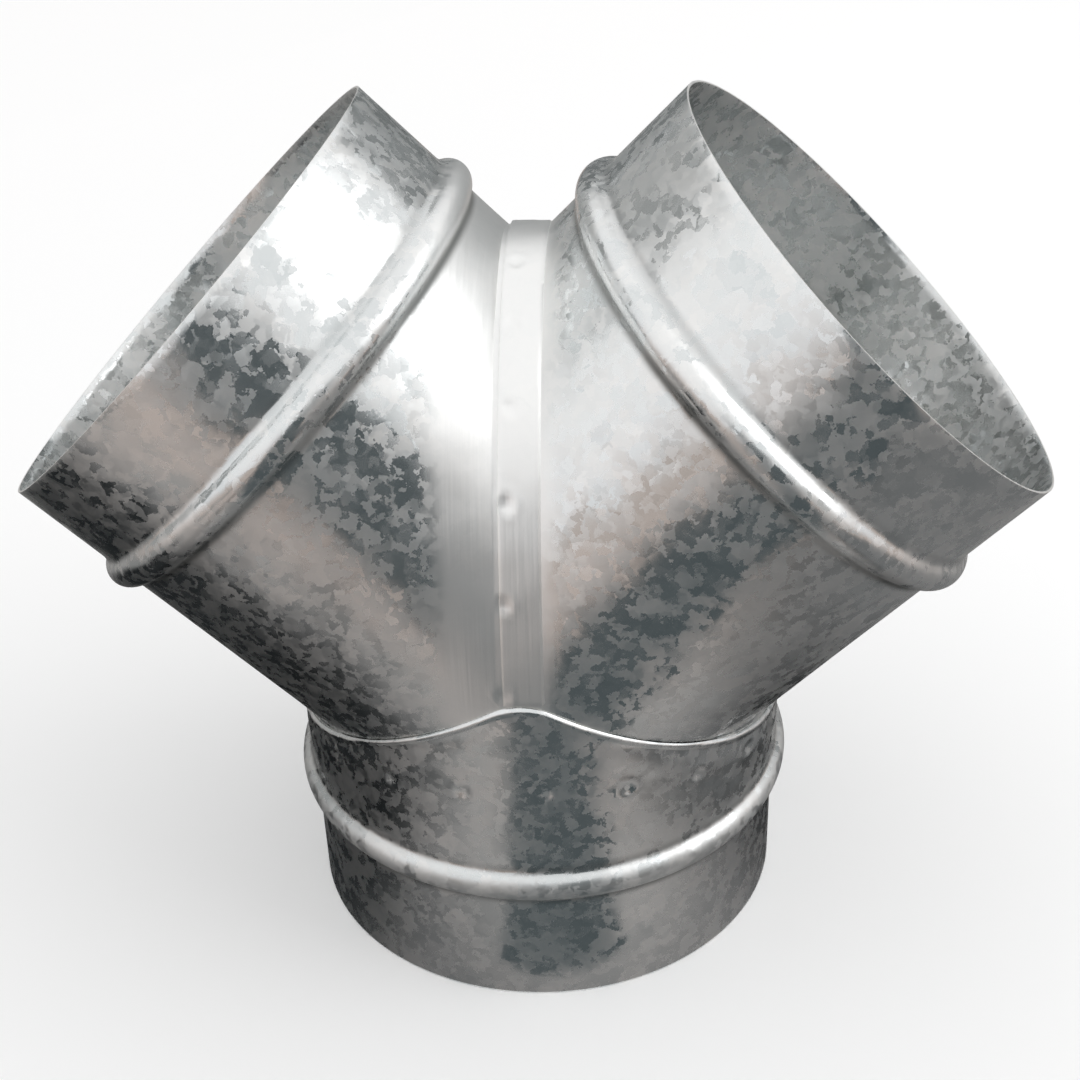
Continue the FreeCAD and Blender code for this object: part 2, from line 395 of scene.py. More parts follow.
def drawn_out(mesh: bmesh.types.BMesh, edges: List[bmesh.types.BMEdge],
              place: Callable[[Vector], Vector]) -> List[bmesh.types.BMEdge]:
    """Extrude a row of edges and put each new vertex in its place.

    Args:
        mesh: The mesh that holds the edges.
        edges: The edges to draw out.
        place: Gives the new place of a vertex from its old one.

    Returns:
        The new row of edges.
    """
    made = bmesh.ops.extrude_edge_only(mesh, edges=edges)["geom"]
    for vert in [item for item in made if isinstance(item, bmesh.types.BMVert)]:
        vert.co = place(vert.co)
    return [
        item
        for item in made
        if isinstance(item, bmesh.types.BMEdge) and all(v in made for v in item.verts)
    ]


@dataclass
class BranchSheet(SheetPiece):
    """One branch: tube with its bead, half of the neck, and its strip along the crotch seam."""

    side: Side = Side.LEFT
    body_rows: int = 26
    body_crowding: float = 1.5
    rim_rows: int = 10
    strip_rows: int = 12

    def outer_face(self, mesh: bmesh.types.BMesh) -> None:
        """Spin the tube, trim it to the mitre and the seam, then draw out neck and strip.

        Args:
            mesh: The empty mesh to fill.
        """
        s = self.sizes
        foot = s.branch_bead - s.half_bead
        bead = BeadCurve(s, s.branch_bead, s.spigot_radius).points()
        body = [foot * (row / self.body_rows) ** self.body_crowding for row in range(self.body_rows)]
        rim = spread(s.branch_bead + s.half_bead, s.branch_length, self.rim_rows)[1:]
        rows = [(s.spigot_radius, h) for h in body] + bead + [(s.spigot_radius, h) for h in rim]
        spin_wall(mesh, rows)
        lowest = [v for v in mesh.verts if v.co.z < NEXT_TO_NOTHING]
        for vert in mesh.verts:
            if vert.co.z < foot:
                start = self.trim(vert.co.x)
                vert.co.z = start + (foot - start) * vert.co.z / foot
        seam = {v for v in lowest if v.co.x > -NEXT_TO_NOTHING}
        mitre = set(lowest) - seam
        bmesh.ops.transform(mesh, matrix=self.lean(), verts=mesh.verts)
        rims = [e for e in mesh.edges if e.is_boundary]
        self.draw_neck(mesh, [e for e in rims if set(e.verts) <= mitre])
        self.draw_strip(mesh, [e for e in rims if set(e.verts) <= seam])

    def lean(self) -> Matrix:
        """Place of the tube: from its own axis to its branch of the fitting.

        Returns:
            The matrix; X of the tube turns to the throat of the branch.
        """
        s = self.sizes
        sine, cosine = math.sin(s.branch_angle), math.cos(s.branch_angle)
        sign = self.side.value
        turn = Matrix(((-sign * cosine, 0, sign * sine), (0, 1, 0), (sine, 0, cosine))).to_4x4()
        return Matrix.Translation((0, 0, s.axes_height)) @ turn

    @property
    def bend(self) -> float:
        """Distance of the tube's seam edge from the middle of the seam."""
        inner = self.sizes.half_flat
        return inner if self.side is Side.LEFT else inner + self.sizes.sheet

    def trim(self, throatward: float) -> float:
        """Where the tube starts on a line along it.

        Args:
            throatward: The line's distance from the axis, toward the throat.

        Returns:
            The start, measured along the axis from the meeting point.
        """
        s = self.sizes
        if throatward < -NEXT_TO_NOTHING:
            return -throatward * s.mitre_slope
        return (self.bend + throatward * math.cos(s.branch_angle)) / math.sin(s.branch_angle)

    def draw_neck(self, mesh: bmesh.types.BMesh, edges: List[bmesh.types.BMEdge]) -> None:
        """Draw the mitred edge straight down into the collar.

        Args:
            mesh: The mesh that holds the tube.
            edges: The mitred edge.
        """
        foot = self.sizes.axes_height - self.sizes.neck_depth
        drawn_out(mesh, edges, lambda p: Vector((p.x, p.y, foot)))

    def draw_strip(self, mesh: bmesh.types.BMesh, edges: List[bmesh.types.BMEdge]) -> None:
        """Draw the seam edge out across the crotch.

        Args:
            mesh: The mesh that holds the tube.
            edges: The edge along the seam.
        """
        s = self.sizes
        sign = self.side.value
        if self.side is Side.LEFT:
            self.stretch(mesh, edges, -s.half_flat, s.half_flat - s.butt_gap)
            self.draw_strip_ends(mesh)
            return
        grow = s.lap_radius / s.spigot_radius
        centre = s.axes_height + s.flat_level
        rise = s.axes_height + self.bend / math.tan(s.branch_angle)

        def joggle(point: Vector) -> Vector:
            """Step one sheet outwards at the bend."""
            return Vector((sign * s.half_flat, point.y * grow, centre + (point.z - rise) * grow))

        stepped = drawn_out(mesh, edges, joggle)
        self.stretch(mesh, stepped, s.half_flat, -s.lip_edge)

    def draw_strip_ends(self, mesh: bmesh.types.BMesh) -> None:
        """Draw both feet of the strip straight down behind the collar.

        Args:
            mesh: The mesh that holds the strip.
        """
        s = self.sizes
        level = s.axes_height + s.flat_level
        feet = [
            e for e in mesh.edges
            if e.is_boundary
            and all(abs(v.co.z - level) < SAME_PLACE and v.co.x < s.half_flat for v in e.verts)
        ]
        drawn_out(mesh, feet, lambda p: Vector((p.x, p.y, s.axes_height)))

    def stretch(self, mesh: bmesh.types.BMesh, edges: List[bmesh.types.BMEdge], start: float,
                stop: float) -> None:
        """Draw the strip out along X in narrow rows.

        Args:
            mesh: The mesh that holds the strip.
            edges: Its first edge.
            start: X of that edge.
            stop: X of its free edge.
        """
        for x in spread(start, stop, self.strip_rows)[1:]:
            edges = drawn_out(mesh, edges, lambda p, x=x: Vector((x, p.y, p.z)))

    def calm(self, point: Vector) -> float:
        """How much ripple a point takes: none at the seam, the mitre, the bead and the rim.

        Args:
            point: A point on the outer face.

        Returns:
            A weight from 0 to 1.
        """
        s = self.sizes
        local = self.lean().inverted() @ point
        along = s.branch_bead - s.half_bead - local.z
        edge = min(along, local.z - self.trim(local.x), abs(point.x) - s.half_flat)
        return min(max(edge / self.calm_reach, 0.0), 1.0)


@dataclass
class CollarSheet(SheetPiece):
    """The trunk: spigot with its bead, and the socket whose wavy edge follows the mitre."""

    burr: float = 0.00009
    rim_rows: int = 16
    socket_rows: int = 40
    edge_rows: int = 15
    edge_depth: float = 0.0033
    roll: float = 0.00045
    roll_below: float = 0.0011
    roll_reach: float = 0.0018
    press: float = 0.0009
    press_curve: float = 1.6
    lip_share: float = 0.45
    swell: float = 0.00028
    swell_below: float = 0.0085
    swell_reach: float = 0.006

    def outer_face(self, mesh: bmesh.types.BMesh) -> None:
        """Spin the wall, then lift its upper rows to the wavy edge.

        Args:
            mesh: The empty mesh to fill.
        """
        s = self.sizes
        bead = BeadCurve(s, s.trunk_spigot, s.lap_radius).points()
        rim = spread(0, bead[0][1], self.rim_rows)[:-1]
        start = bead[-1][1]
        top = s.axes_height
        turn = top - self.edge_depth
        socket = spread(start, turn, self.socket_rows)[1:] + spread(turn, top, self.edge_rows)[1:]
        rows = [(s.spigot_radius, h) for h in rim] + bead + [(s.lap_radius, h) for h in socket]
        spin_wall(mesh, rows)
        for vert in mesh.verts:
            if vert.co.z > start:
                edge = self.edge_height(vert.co.x)
                share = min((vert.co.z - start) / (turn - start), 1.0)
                above = max(vert.co.z - turn, 0.0)
                vert.co.z = start + share * (edge - self.edge_depth - start) + above
                self.follow_branch(vert)
                self.swell_out(vert, edge - vert.co.z)

    def swell_out(self, vert: bmesh.types.BMVert, below: float) -> None:
        """Press the edge down toward the neck behind a low roll, with a soft swell along it.

        Args:
            vert: A vertex of the socket.
            below: Its distance below the edge.
        """
        lift = smooth_fall(max(below - self.roll_below, 0.0), self.roll_reach) * self.roll
        lift -= self.press * max(1 - below / self.roll_below, 0.0) ** self.press_curve
        lift += smooth_fall(abs(below - self.swell_below), self.swell_reach) * self.swell
        out = Vector((vert.co.x, vert.co.y, 0)).normalized()
        vert.co += out * lift

    def thin_out(self, piece: bpy.types.Object, wall: bpy.types.SolidifyModifier) -> None:
        """Thin the sheet where its edge is pressed down.

        Args:
            piece: The modelled sheet.
            wall: The modifier that gives it its thickness.
        """
        group = piece.vertex_groups.new(name="full_wall")
        for vert in piece.data.vertices:
            below = self.edge_height(vert.co.x) - vert.co.z
            group.add([vert.index], min(max(below / self.roll_below, 0.0), 1.0), "REPLACE")
        wall.vertex_group = group.name
        wall.thickness_vertex_group = self.lip_share

    def edge_height(self, x: float) -> float:
        """Height of the collar's edge.

        Args:
            x: Distance from the middle.

        Returns:
            The height over the trunk's rim.
        """
        s = self.sizes
        run = s.collar_apex_radius * math.sin(s.collar_fall)
        slope = math.tan(s.collar_fall)
        if abs(x) >= run:
            return s.axes_height + s.collar_apex - slope * abs(x)
        shoulder = s.collar_apex - slope * run
        centre = shoulder - s.collar_apex_radius * math.cos(s.collar_fall)
        return s.axes_height + centre + math.sqrt(s.collar_apex_radius ** 2 - x * x)

    def follow_branch(self, vert: bmesh.types.BMVert) -> None:
        """Lay a point that lies past the mitre on the branch under it.

        Args:
            vert: A vertex of the socket.
        """
        s = self.sizes
        out = abs(vert.co.x)
        up = vert.co.z - s.axes_height
        if up <= -s.mitre_slope * out:
            return
        across = out * math.cos(s.branch_angle) - up * math.sin(s.branch_angle)
        vert.co.y = math.copysign(math.sqrt(s.lap_radius ** 2 - across ** 2), vert.co.y)

    def calm(self, point: Vector) -> float:
        """How much ripple a point takes: none at the wavy edge, the bead and the rim.

        Args:
            point: A point on the outer face.

        Returns:
            A weight from 0 to 1.
        """
        s = self.sizes
        low = point.z - s.trunk_spigot - s.half_bead
        high = self.edge_height(point.x) - point.z
        return min(max(min(low, high) / self.calm_reach, 0.0), 1.0)


@dataclass(frozen=True)
class WeldRows:
    """Where the weld marks lie along the crotch seam and round the collar."""

    sizes: DuctSizes = SIZES
    seam_offset: float = -0.0046
    seam_drift: float = 0.0012
    seam_last: float = -0.0012
    seam_first: float = math.radians(1.4)
    seam_step: float = math.radians(15.2)
    seam_count: int = 6
    collar_first: float = math.radians(4.6)
    collar_count: int = 20
    collar_drop: float = 0.025
    collar_side_drop: float = 0.014
    collar_depth: float = 0.0008

    def seam(self) -> List[WeldSpot]:
        """Marks along the upper lip, in front and behind, nearer to its edge at the foot.

        Returns:
            The marks.
        """
        s = self.sizes
        tall = s.lap_radius / math.sin(s.branch_angle)
        marks = []
        for front in (-1, 1):
            for number in range(self.seam_count):
                turn = self.seam_first + self.seam_step * number
                across = min(self.seam_offset + self.seam_drift * number, self.seam_last)
                height = s.axes_height + s.flat_level + tall * math.sin(turn)
                depth = front * s.lap_radius * math.cos(turn)
                marks.append(WeldSpot(Vector((across, depth, height))))
        return marks

    def collar(self) -> List[WeldSpot]:
        """Marks round the socket, lower at the sides, where the neck ends lower.

        Returns:
            The marks.
        """
        s = self.sizes
        marks = []
        for number in range(self.collar_count):
            turn = self.collar_first + math.tau * number / self.collar_count
            x, y = s.lap_radius * math.sin(turn), -s.lap_radius * math.cos(turn)
            drop = self.collar_drop + self.collar_side_drop * math.sin(turn) ** 2
            marks.append(WeldSpot(Vector((x, y, s.axes_height - drop)), depth=self.collar_depth))
        return marks


class NodeBench:
    """Short hand for wiring the nodes of one material."""

    def __init__(self, name: str) -> None:
        """Start a material.

        Args:
            name: The material's name.
        """
        self.material = bpy.data.materials.new(name)
        self.material.use_nodes = True
        self.tree = self.material.node_tree
        self.shader = self.tree.nodes["Principled BSDF"]

    def add(self, kind: str, inputs: Optional[Dict[Union[str, int], Value]] = None,
            **settings: Any) -> bpy.types.Node:
        """Add one node.

        Args:
            kind: The node's type.
            inputs: Input name to a value or an output socket.
            **settings: Properties of the node.

        Returns:
            The node.
        """
        node = self.tree.nodes.new(kind)
        for key, value in settings.items():
            setattr(node, key, value)
        for key, value in (inputs or {}).items():
            self.feed(node.inputs[key], value)
        return node

    def feed(self, socket: bpy.types.NodeSocket, value: Value) -> None:
        """Link an output to an input, or set the input's value.

        Args:
            socket: The input.
            value: An output socket, a number or a vector.
        """
        if isinstance(value, bpy.types.NodeSocket):
            self.tree.links.new(value, socket)
        else:
            socket.default_value = value

    def sum(self, operation: str, first: Value, second: Optional[Value] = None,
            third: Optional[Value] = None) -> bpy.types.NodeSocket:
        """One step of arithmetic.

        Args:
            operation: Name of the operation.
            first: First operand.
            second: Second operand, where the operation has one.
            third: Third operand, where the operation has one.

        Returns:
            The result.
        """
        node = self.add("ShaderNodeMath", operation=operation)
        for place, value in enumerate((first, second, third)):
            if value is not None:
                self.feed(node.inputs[place], value)
        return node.outputs[0]

    def vector(self, operation: str, first: Value, second: Optional[Value] = None,
               scale: Optional[Value] = None) -> bpy.types.NodeSocket:
        """One step of vector arithmetic.

        Args:
            operation: Name of the operation.
            first: First vector.
            second: Second vector, where the operation has one.
            scale: Factor of a scaling.

        Returns:
            The resulting vector.
        """
        node = self.add("ShaderNodeVectorMath", operation=operation)
        self.feed(node.inputs[0], first)
        if second is not None:
            self.feed(node.inputs[1], second)
        if scale is not None:
            self.feed(node.inputs["Scale"], scale)
        return node.outputs[0]

    def remap(self, value: Value, low: float, high: float, to_low: float,
              to_high: float) -> bpy.types.NodeSocket:
        """Carry a range of values smoothly over to another.

        Args:
            value: The value.
            low: Start of its range.
            high: End of its range.
            to_low: Result at the start.
            to_high: Result at the end.

        Returns:
            The result.
        """
        node = self.add("ShaderNodeMapRange", interpolation_type="SMOOTHSTEP")
        for place, number in zip(("Value", "From Min", "From Max", "To Min", "To Max"),
                                 (value, low, high, to_low, to_high)):
            self.feed(node.inputs[place], number)
        return node.outputs[0]

    def near(self, value: Value, middle: float, reach: float) -> bpy.types.NodeSocket:
        """Weight that is 1 where a value has its middle and 0 from the reach on.

        Args:
            value: The value.
            middle: Where the weight is 1.
            reach: Distance at which the weight is gone.

        Returns:
            The weight.
        """
        away = self.sum("ABSOLUTE", self.sum("SUBTRACT", value, middle))
        return self.remap(away, 0.0, reach, 1.0, 0.0)

    def blend(self, factor: Value, first: Value, second: Value) -> bpy.types.NodeSocket:
        """Mix two colours.

        Args:
            factor: How much of the second there is.
            first: First colour.
            second: Second colour.

        Returns:
            The mixed colour.
        """
        node = self.add("ShaderNodeMix", {"Factor": factor, 6: first, 7: second}, data_type="RGBA")
        return node.outputs[2]

    def ramp(self, factor: Value, stops: Sequence[Tuple[float, Colour]]) -> bpy.types.NodeSocket:
        """Colour along a row of stops.

        Args:
            factor: Place on the row.
            stops: Position and colour of each stop.

        Returns:
            The colour.
        """
        node = self.add("ShaderNodeValToRGB", {"Fac": factor})
        row = node.color_ramp.elements
        while len(row) < len(stops):
            row.new(0.5)
        for element, (position, colour) in zip(row, stops):
            element.position = position
            element.color = (*colour, 1)
        return node.outputs[0]


@dataclass(frozen=True)
class BeadFeet:
    """Where a finish finds the two feet of its bead, where painted shade darkens the grooves, and the crest between
    them.
    """

    out: float
    up: float
    lower: float
    upper: float
    lower_weight: float
    upper_weight: float
    reach: float = 0.0026

    @classmethod
    def of_branch(cls, sizes: DuctSizes, lower_inset: float = 0.0014, upper_inset: float = 0.0006) -> "BeadFeet":
        """Feet of a branch's bead, measured along the branch.

        Args:
            sizes: Sizes of the fitting.
            lower_inset: How far the painted groove shade toward the body lies inside its foot.
            upper_inset: The same for the foot toward the rim.

        Returns:
            The feet.
        """
        out, up = math.sin(sizes.branch_angle), math.cos(sizes.branch_angle)
        middle = sizes.branch_bead + sizes.axes_height * up
        lower = middle - sizes.half_bead + lower_inset
        upper = middle + sizes.half_bead - upper_inset
        return cls(out, up, lower, upper, lower_weight=1.0, upper_weight=0.35)

    @classmethod
    def of_trunk(cls, sizes: DuctSizes, inset: float = 0.0010) -> "BeadFeet":
        """Feet of the trunk's bead, measured upwards.

        Args:
            sizes: Sizes of the fitting.
            inset: How far the painted groove shade lies inside each foot.

        Returns:
            The feet.
        """
        lower = sizes.trunk_spigot - sizes.half_bead + inset
        upper = sizes.trunk_spigot + sizes.half_bead - inset
        return cls(0.0, 1.0, lower, upper, lower_weight=0.9, upper_weight=0.5)

    def along(self, bench: NodeBench, place: bpy.types.NodeSocket) -> bpy.types.NodeSocket:
        """How far along its tube a point lies.

        Args:
            bench: The material's bench.
            place: Object coordinates.

        Returns:
            The distance.
        """
        split = bench.add("ShaderNodeSeparateXYZ", {"Vector": place})
        out = bench.sum("MULTIPLY", bench.sum("ABSOLUTE", split.outputs["X"]), self.out)
        return bench.sum("MULTIPLY_ADD", split.outputs["Z"], self.up, out)

    def crest(self, bench: NodeBench, place: bpy.types.NodeSocket) -> bpy.types.NodeSocket:
        """How much a point lies on the bead's crest.

        Args:
            bench: The material's bench.
            place: Object coordinates.

        Returns:
            The weight.
        """
        middle, half = (self.lower + self.upper) / 2, (self.upper - self.lower) / 2
        return bench.near(self.along(bench, place), middle, half)

    def weight(self, bench: NodeBench, place: bpy.types.NodeSocket) -> bpy.types.NodeSocket:
        """How much a point lies in the groove at a foot: the weight of the painted groove shade.

        Args:
            bench: The material's bench.
            place: Object coordinates.

        Returns:
            The weight.
        """
        along = self.along(bench, place)
        low = bench.sum("MULTIPLY", bench.near(along, self.lower, self.reach), self.lower_weight)
        high = bench.sum("MULTIPLY", bench.near(along, self.upper, self.reach), self.upper_weight)
        return bench.sum("MAXIMUM", low, high)


@dataclass(frozen=True)
class Spangle:
    """Sockets that the colour, the gloss and the lean of the zinc crystals share."""

    place: bpy.types.NodeSocket
    crystal: bpy.types.NodeSocket
    leaf: bpy.types.NodeSocket
    grain: bpy.types.NodeSocket
    fleck: bpy.types.NodeSocket
    clouds: bpy.types.NodeSocket
    groove_shade_and_crest: bpy.types.NodeSocket
    crest: Optional[bpy.types.NodeSocket]
    rubbed: Optional[bpy.types.NodeSocket]


@dataclass(frozen=True)
class GalvanisedSheet:
    """Hot-dip galvanised sheet: zinc crystals that tilt the gloss each their own way."""

    name: str
    streaks: Streaks
    bead: BeadFeet
    crystal: float = 0.0075
    leaf: float = 0.0026
    warp: float = 0.0066
    warp_scale: float = 260.0
    warp_detail: float = 3.0
    warp_roughness: float = 0.62
    cloud_scale: float = 24.0
    cloud_detail: float = 2.0
    tilt: float = 0.07
    leaf_tilt: float = 0.07
    dark: Colour = (0.68, 0.71, 0.715)
    middle: Colour = (0.795, 0.81, 0.81)
    light: Colour = (0.87, 0.87, 0.86)
    base_tone: float = -0.09
    grain_tone: float = 0.42
    fleck_tone: float = 0.30
    cloud_tone: float = 0.45
    dark_tone: float = 0.18
    middle_tone: float = 0.5
    light_tone: float = 0.82
    smoothest: float = 0.145
    roughest: float = 0.37
    grain_gloss: float = 0.3
    fleck_gloss: float = 0.5
    cloud_gloss: float = 0.4
    smooth_until: float = 0.36
    rough_from: float = 0.74
    # Colour of the painted shade in the bead's grooves, also taken by the darker crest
    groove_shade_and_crest: Colour = (0.20, 0.205, 0.20)
    groove_shade_and_crest_dulls: float = 0.15
    groove_shade_clouds: Tuple[float, float] = (0.35, 0.62)
    groove_shade_shares: Tuple[float, float] = (0.45, 0.85)
    # How far the bead's crest is darkened toward the groove colour
    crest_darkening: float = 0.0
    crest_dulls: float = 0.25
    rubbed_middle: float = -0.006
    rubbed_from: float = 0.011
    rubbed_to: float = 0.020
    # Lighter colour of the rubbed band: partly wear, partly painted sheen
    worn_and_sheen: Colour = (0.95, 0.95, 0.94)
    worn_and_sheen_share: float = 0.85
    worn_tilt: float = 0.85
    brushed: float = 0.42
    dent_scale: float = 55.0
    dent_depth: float = 0.0012
    dent_strength: float = 0.35
    streak_scale: Tuple[float, float, float] = (900.0, 60.0, 30.0)
    streak_depth: float = 0.0002
    streak_strength: float = 0.25

    def material(self) -> bpy.types.Material:
        """Wire the finish.

        Returns:
            The material.
        """
        bench = NodeBench(self.name)
        cells = self.spangle(bench)
        bench.feed(bench.shader.inputs["Base Color"], self.colour(bench, cells))
        bench.feed(bench.shader.inputs["Roughness"], self.gloss(bench, cells))
        bench.feed(bench.shader.inputs["Normal"], self.streaked(bench, cells, self.dented(bench, cells)))
        bench.shader.inputs["Metallic"].default_value = 1.0
        return bench.material

    def spangle(self, bench: NodeBench) -> Spangle:
        """Lay out the crystals, the leaves in them, the soft clouds over them, the rubbed band, the painted shade in
        the bead's grooves and the darker crest.

        Args:
            bench: The material's bench.

        Returns:
            Their sockets.
        """
        place = bench.add("ShaderNodeTexCoord").outputs["Object"]
        warp = bench.add("ShaderNodeTexNoise", {"Vector": place, "Scale": self.warp_scale,
                                                "Detail": self.warp_detail, "Roughness": self.warp_roughness})
        bent = bench.vector("SUBTRACT", warp.outputs["Color"], (0.5, 0.5, 0.5))
        shifted = bench.vector("ADD", place, bench.vector("SCALE", bent, scale=self.warp))
        crystal, leaf = (
            bench.add("ShaderNodeTexVoronoi", {"Vector": shifted, "Scale": 1 / size}).outputs["Color"]
            for size in (self.crystal, self.leaf)
        )
        grain, fleck = (
            bench.add("ShaderNodeSeparateColor", {"Color": cell}).outputs[0] for cell in (crystal, leaf)
        )
        clouds = bench.add("ShaderNodeTexNoise", {"Vector": place, "Scale": self.cloud_scale,
                                                  "Detail": self.cloud_detail}).outputs["Fac"]
        # Painted shade in the grooves at the bead's feet, heavier at the lower foot and broken into patches
        patchy = bench.remap(clouds, *self.groove_shade_clouds, *self.groove_shade_shares)
        groove_shade_and_crest = bench.sum("MULTIPLY", self.bead.weight(bench, place), patchy)
        # On the trunk, a darker, duller band along the bead's crest
        crest = self.bead.crest(bench, place) if self.crest_darkening > 0 else None
        if crest is not None:
            groove_shade_and_crest = bench.sum("MAXIMUM", groove_shade_and_crest, bench.sum("MULTIPLY", crest, self.crest_darkening))
        return Spangle(place, crystal, leaf, grain, fleck, clouds, groove_shade_and_crest, crest, self.rubbed(bench, place))

    def rubbed(self, bench: NodeBench, place: bpy.types.NodeSocket) -> Optional[bpy.types.NodeSocket]:
        """Weight of the rubbed band along the crotch seam.

        Args:
            bench: The material's bench.
            place: Object coordinates.

        Returns:
            The weight, or nothing where the sheet has no such band.
        """
        if self.streaks is Streaks.NONE:
            return None
        split = bench.add("ShaderNodeSeparateXYZ", {"Vector": place})
        across = bench.sum("ABSOLUTE", bench.sum("SUBTRACT", split.outputs["X"], self.rubbed_middle))
        return bench.remap(across, self.rubbed_from, self.rubbed_to, 1.0, 0.0)

    def colour(self, bench: NodeBench, cells: Spangle) -> bpy.types.NodeSocket:
        """Colour of the zinc: each crystal its own tone, lighter in the rubbed band from wear and painted sheen,
        painted shade in the grooves, and a darker crest on the trunk's bead.

        Args:
            bench: The material's bench.
            cells: The crystals.

        Returns:
            The colour.
        """
        tone = bench.sum("MULTIPLY_ADD", cells.fleck, self.fleck_tone, self.base_tone)
        tone = bench.sum("MULTIPLY_ADD", cells.grain, self.grain_tone, tone)
        tone = bench.sum("MULTIPLY_ADD", cells.clouds, self.cloud_tone, tone)
        zinc = bench.ramp(tone, [(self.dark_tone, self.dark), (self.middle_tone, self.middle),
                                 (self.light_tone, self.light)])
        # The rubbed band is lighter: partly wear, partly painted sheen
        if cells.rubbed is not None:
            share = bench.sum("MULTIPLY", cells.rubbed, self.worn_and_sheen_share)
            zinc = bench.blend(share, zinc, (*self.worn_and_sheen, 1))
        # Blend in the painted groove shade and the darker crest
        return bench.blend(cells.groove_shade_and_crest, zinc, (*self.groove_shade_and_crest, 1))

    def gloss(self, bench: NodeBench, cells: Spangle) -> bpy.types.NodeSocket:
        """Roughness of the zinc: each crystal its own, even where rubbed, duller in the painted-shade grooves and on
        the darker crest.

        Args:
            bench: The material's bench.
            cells: The crystals.

        Returns:
            The roughness.
        """
        mixed = bench.sum("MULTIPLY", cells.grain, self.grain_gloss)
        mixed = bench.sum("MULTIPLY_ADD", cells.fleck, self.fleck_gloss, mixed)
        mixed = bench.sum("MULTIPLY_ADD", cells.clouds, self.cloud_gloss, mixed)
        satin = bench.remap(mixed, self.smooth_until, self.rough_from, self.smoothest, self.roughest)
        if cells.rubbed is not None:
            satin = bench.add("ShaderNodeMix", {"Factor": cells.rubbed, 2: satin, 3: self.brushed},
                              data_type="FLOAT").outputs[0]
        satin = bench.sum("MULTIPLY_ADD", cells.groove_shade_and_crest, self.groove_shade_and_crest_dulls, satin)
        if cells.crest is not None:
            satin = bench.sum("MULTIPLY_ADD", cells.crest, self.crest_dulls, satin)
        return satin

    def tilted(self, bench: NodeBench, cells: Spangle) -> bpy.types.NodeSocket:
        """Normal that each crystal and each leaf in it leans its own way, less so where rubbed.

        Args:
            bench: The material's bench.
            cells: The crystals.

        Returns:
            The normal.
        """
        base = bench.add("ShaderNodeNewGeometry").outputs["Normal"]
        lean, twist = (
            bench.vector("SCALE", bench.vector("SUBTRACT", cell, (0.5, 0.5, 0.5)), scale=tilt)
            for cell, tilt in ((cells.crystal, self.tilt), (cells.leaf, self.leaf_tilt))
        )
        both = bench.vector("ADD", lean, twist)
        if cells.rubbed is not None:
            both = bench.vector("SCALE", both, scale=bench.sum("MULTIPLY_ADD", cells.rubbed, -self.worn_tilt, 1.0))
        return bench.vector("NORMALIZE", bench.vector("ADD", base, both))

    def dented(self, bench: NodeBench, cells: Spangle) -> bpy.types.NodeSocket:
        """Normal of the leaning crystals with the soft dents of handled sheet.

        Args:
            bench: The material's bench.
            cells: The crystals.

        Returns:
            The normal.
        """
        dents = bench.add("ShaderNodeTexNoise", {"Vector": cells.place, "Scale": self.dent_scale, "Detail": 1.0})
        soft = bench.add("ShaderNodeBump", {"Height": dents.outputs["Fac"], "Strength": self.dent_strength,
                                            "Distance": self.dent_depth, "Normal": self.tilted(bench, cells)})
        return soft.outputs[0]

    def streaked(self, bench: NodeBench, cells: Spangle, normal: bpy.types.NodeSocket) -> bpy.types.NodeSocket:
        """Normal with fine upright rubbing marks along the crotch seam, where the sheet has them.

        Args:
            bench: The material's bench.
            cells: The crystals.
            normal: The normal so far.

        Returns:
            The normal.
        """
        if cells.rubbed is None:
            return normal
        drawn = bench.add("ShaderNodeMapping", {"Vector": cells.place, "Scale": self.streak_scale})
        lines = bench.add("ShaderNodeTexNoise", {"Vector": drawn.outputs[0], "Scale": 1.0, "Detail": 1.0})
        strength = bench.sum("MULTIPLY", cells.rubbed, self.streak_strength)
        marks = bench.add("ShaderNodeBump", {"Height": lines.outputs["Fac"], "Strength": strength,
                                             "Distance": self.streak_depth, "Normal": normal})
        return marks.outputs[0]


@dataclass(frozen=True)
class CutEdge:
    """Bare bright steel where a sheet was sheared, lightened toward a painted glint along the edge."""

    name: str = "cut_edge"
    # Light colours: partly bare steel, partly a painted glint
    dull: Colour = (0.80, 0.80, 0.79)
    bright: Colour = (0.95, 0.95, 0.93)
    burr_scale: float = 420.0
    dull_until: float = 0.3
    bright_from: float = 0.6
    roughest: float = 0.6
    smoothest: float = 0.4
    smooth_from: float = 0.7

    def material(self) -> bpy.types.Material:
        """Wire the finish.

        Returns:
            The material.
        """
        bench = NodeBench(self.name)
        place = bench.add("ShaderNodeTexCoord").outputs["Object"]
        burr = bench.add("ShaderNodeTexNoise", {"Vector": place, "Scale": self.burr_scale, "Detail": 2.0})
        colour = bench.ramp(burr.outputs["Fac"], [(self.dull_until, self.dull), (self.bright_from, self.bright)])
        bench.feed(bench.shader.inputs["Base Color"], colour)
        rough = bench.remap(burr.outputs["Fac"], self.dull_until, self.smooth_from, self.roughest, self.smoothest)
        bench.feed(bench.shader.inputs["Roughness"], rough)
        bench.shader.inputs["Metallic"].default_value = 1.0
        return bench.material


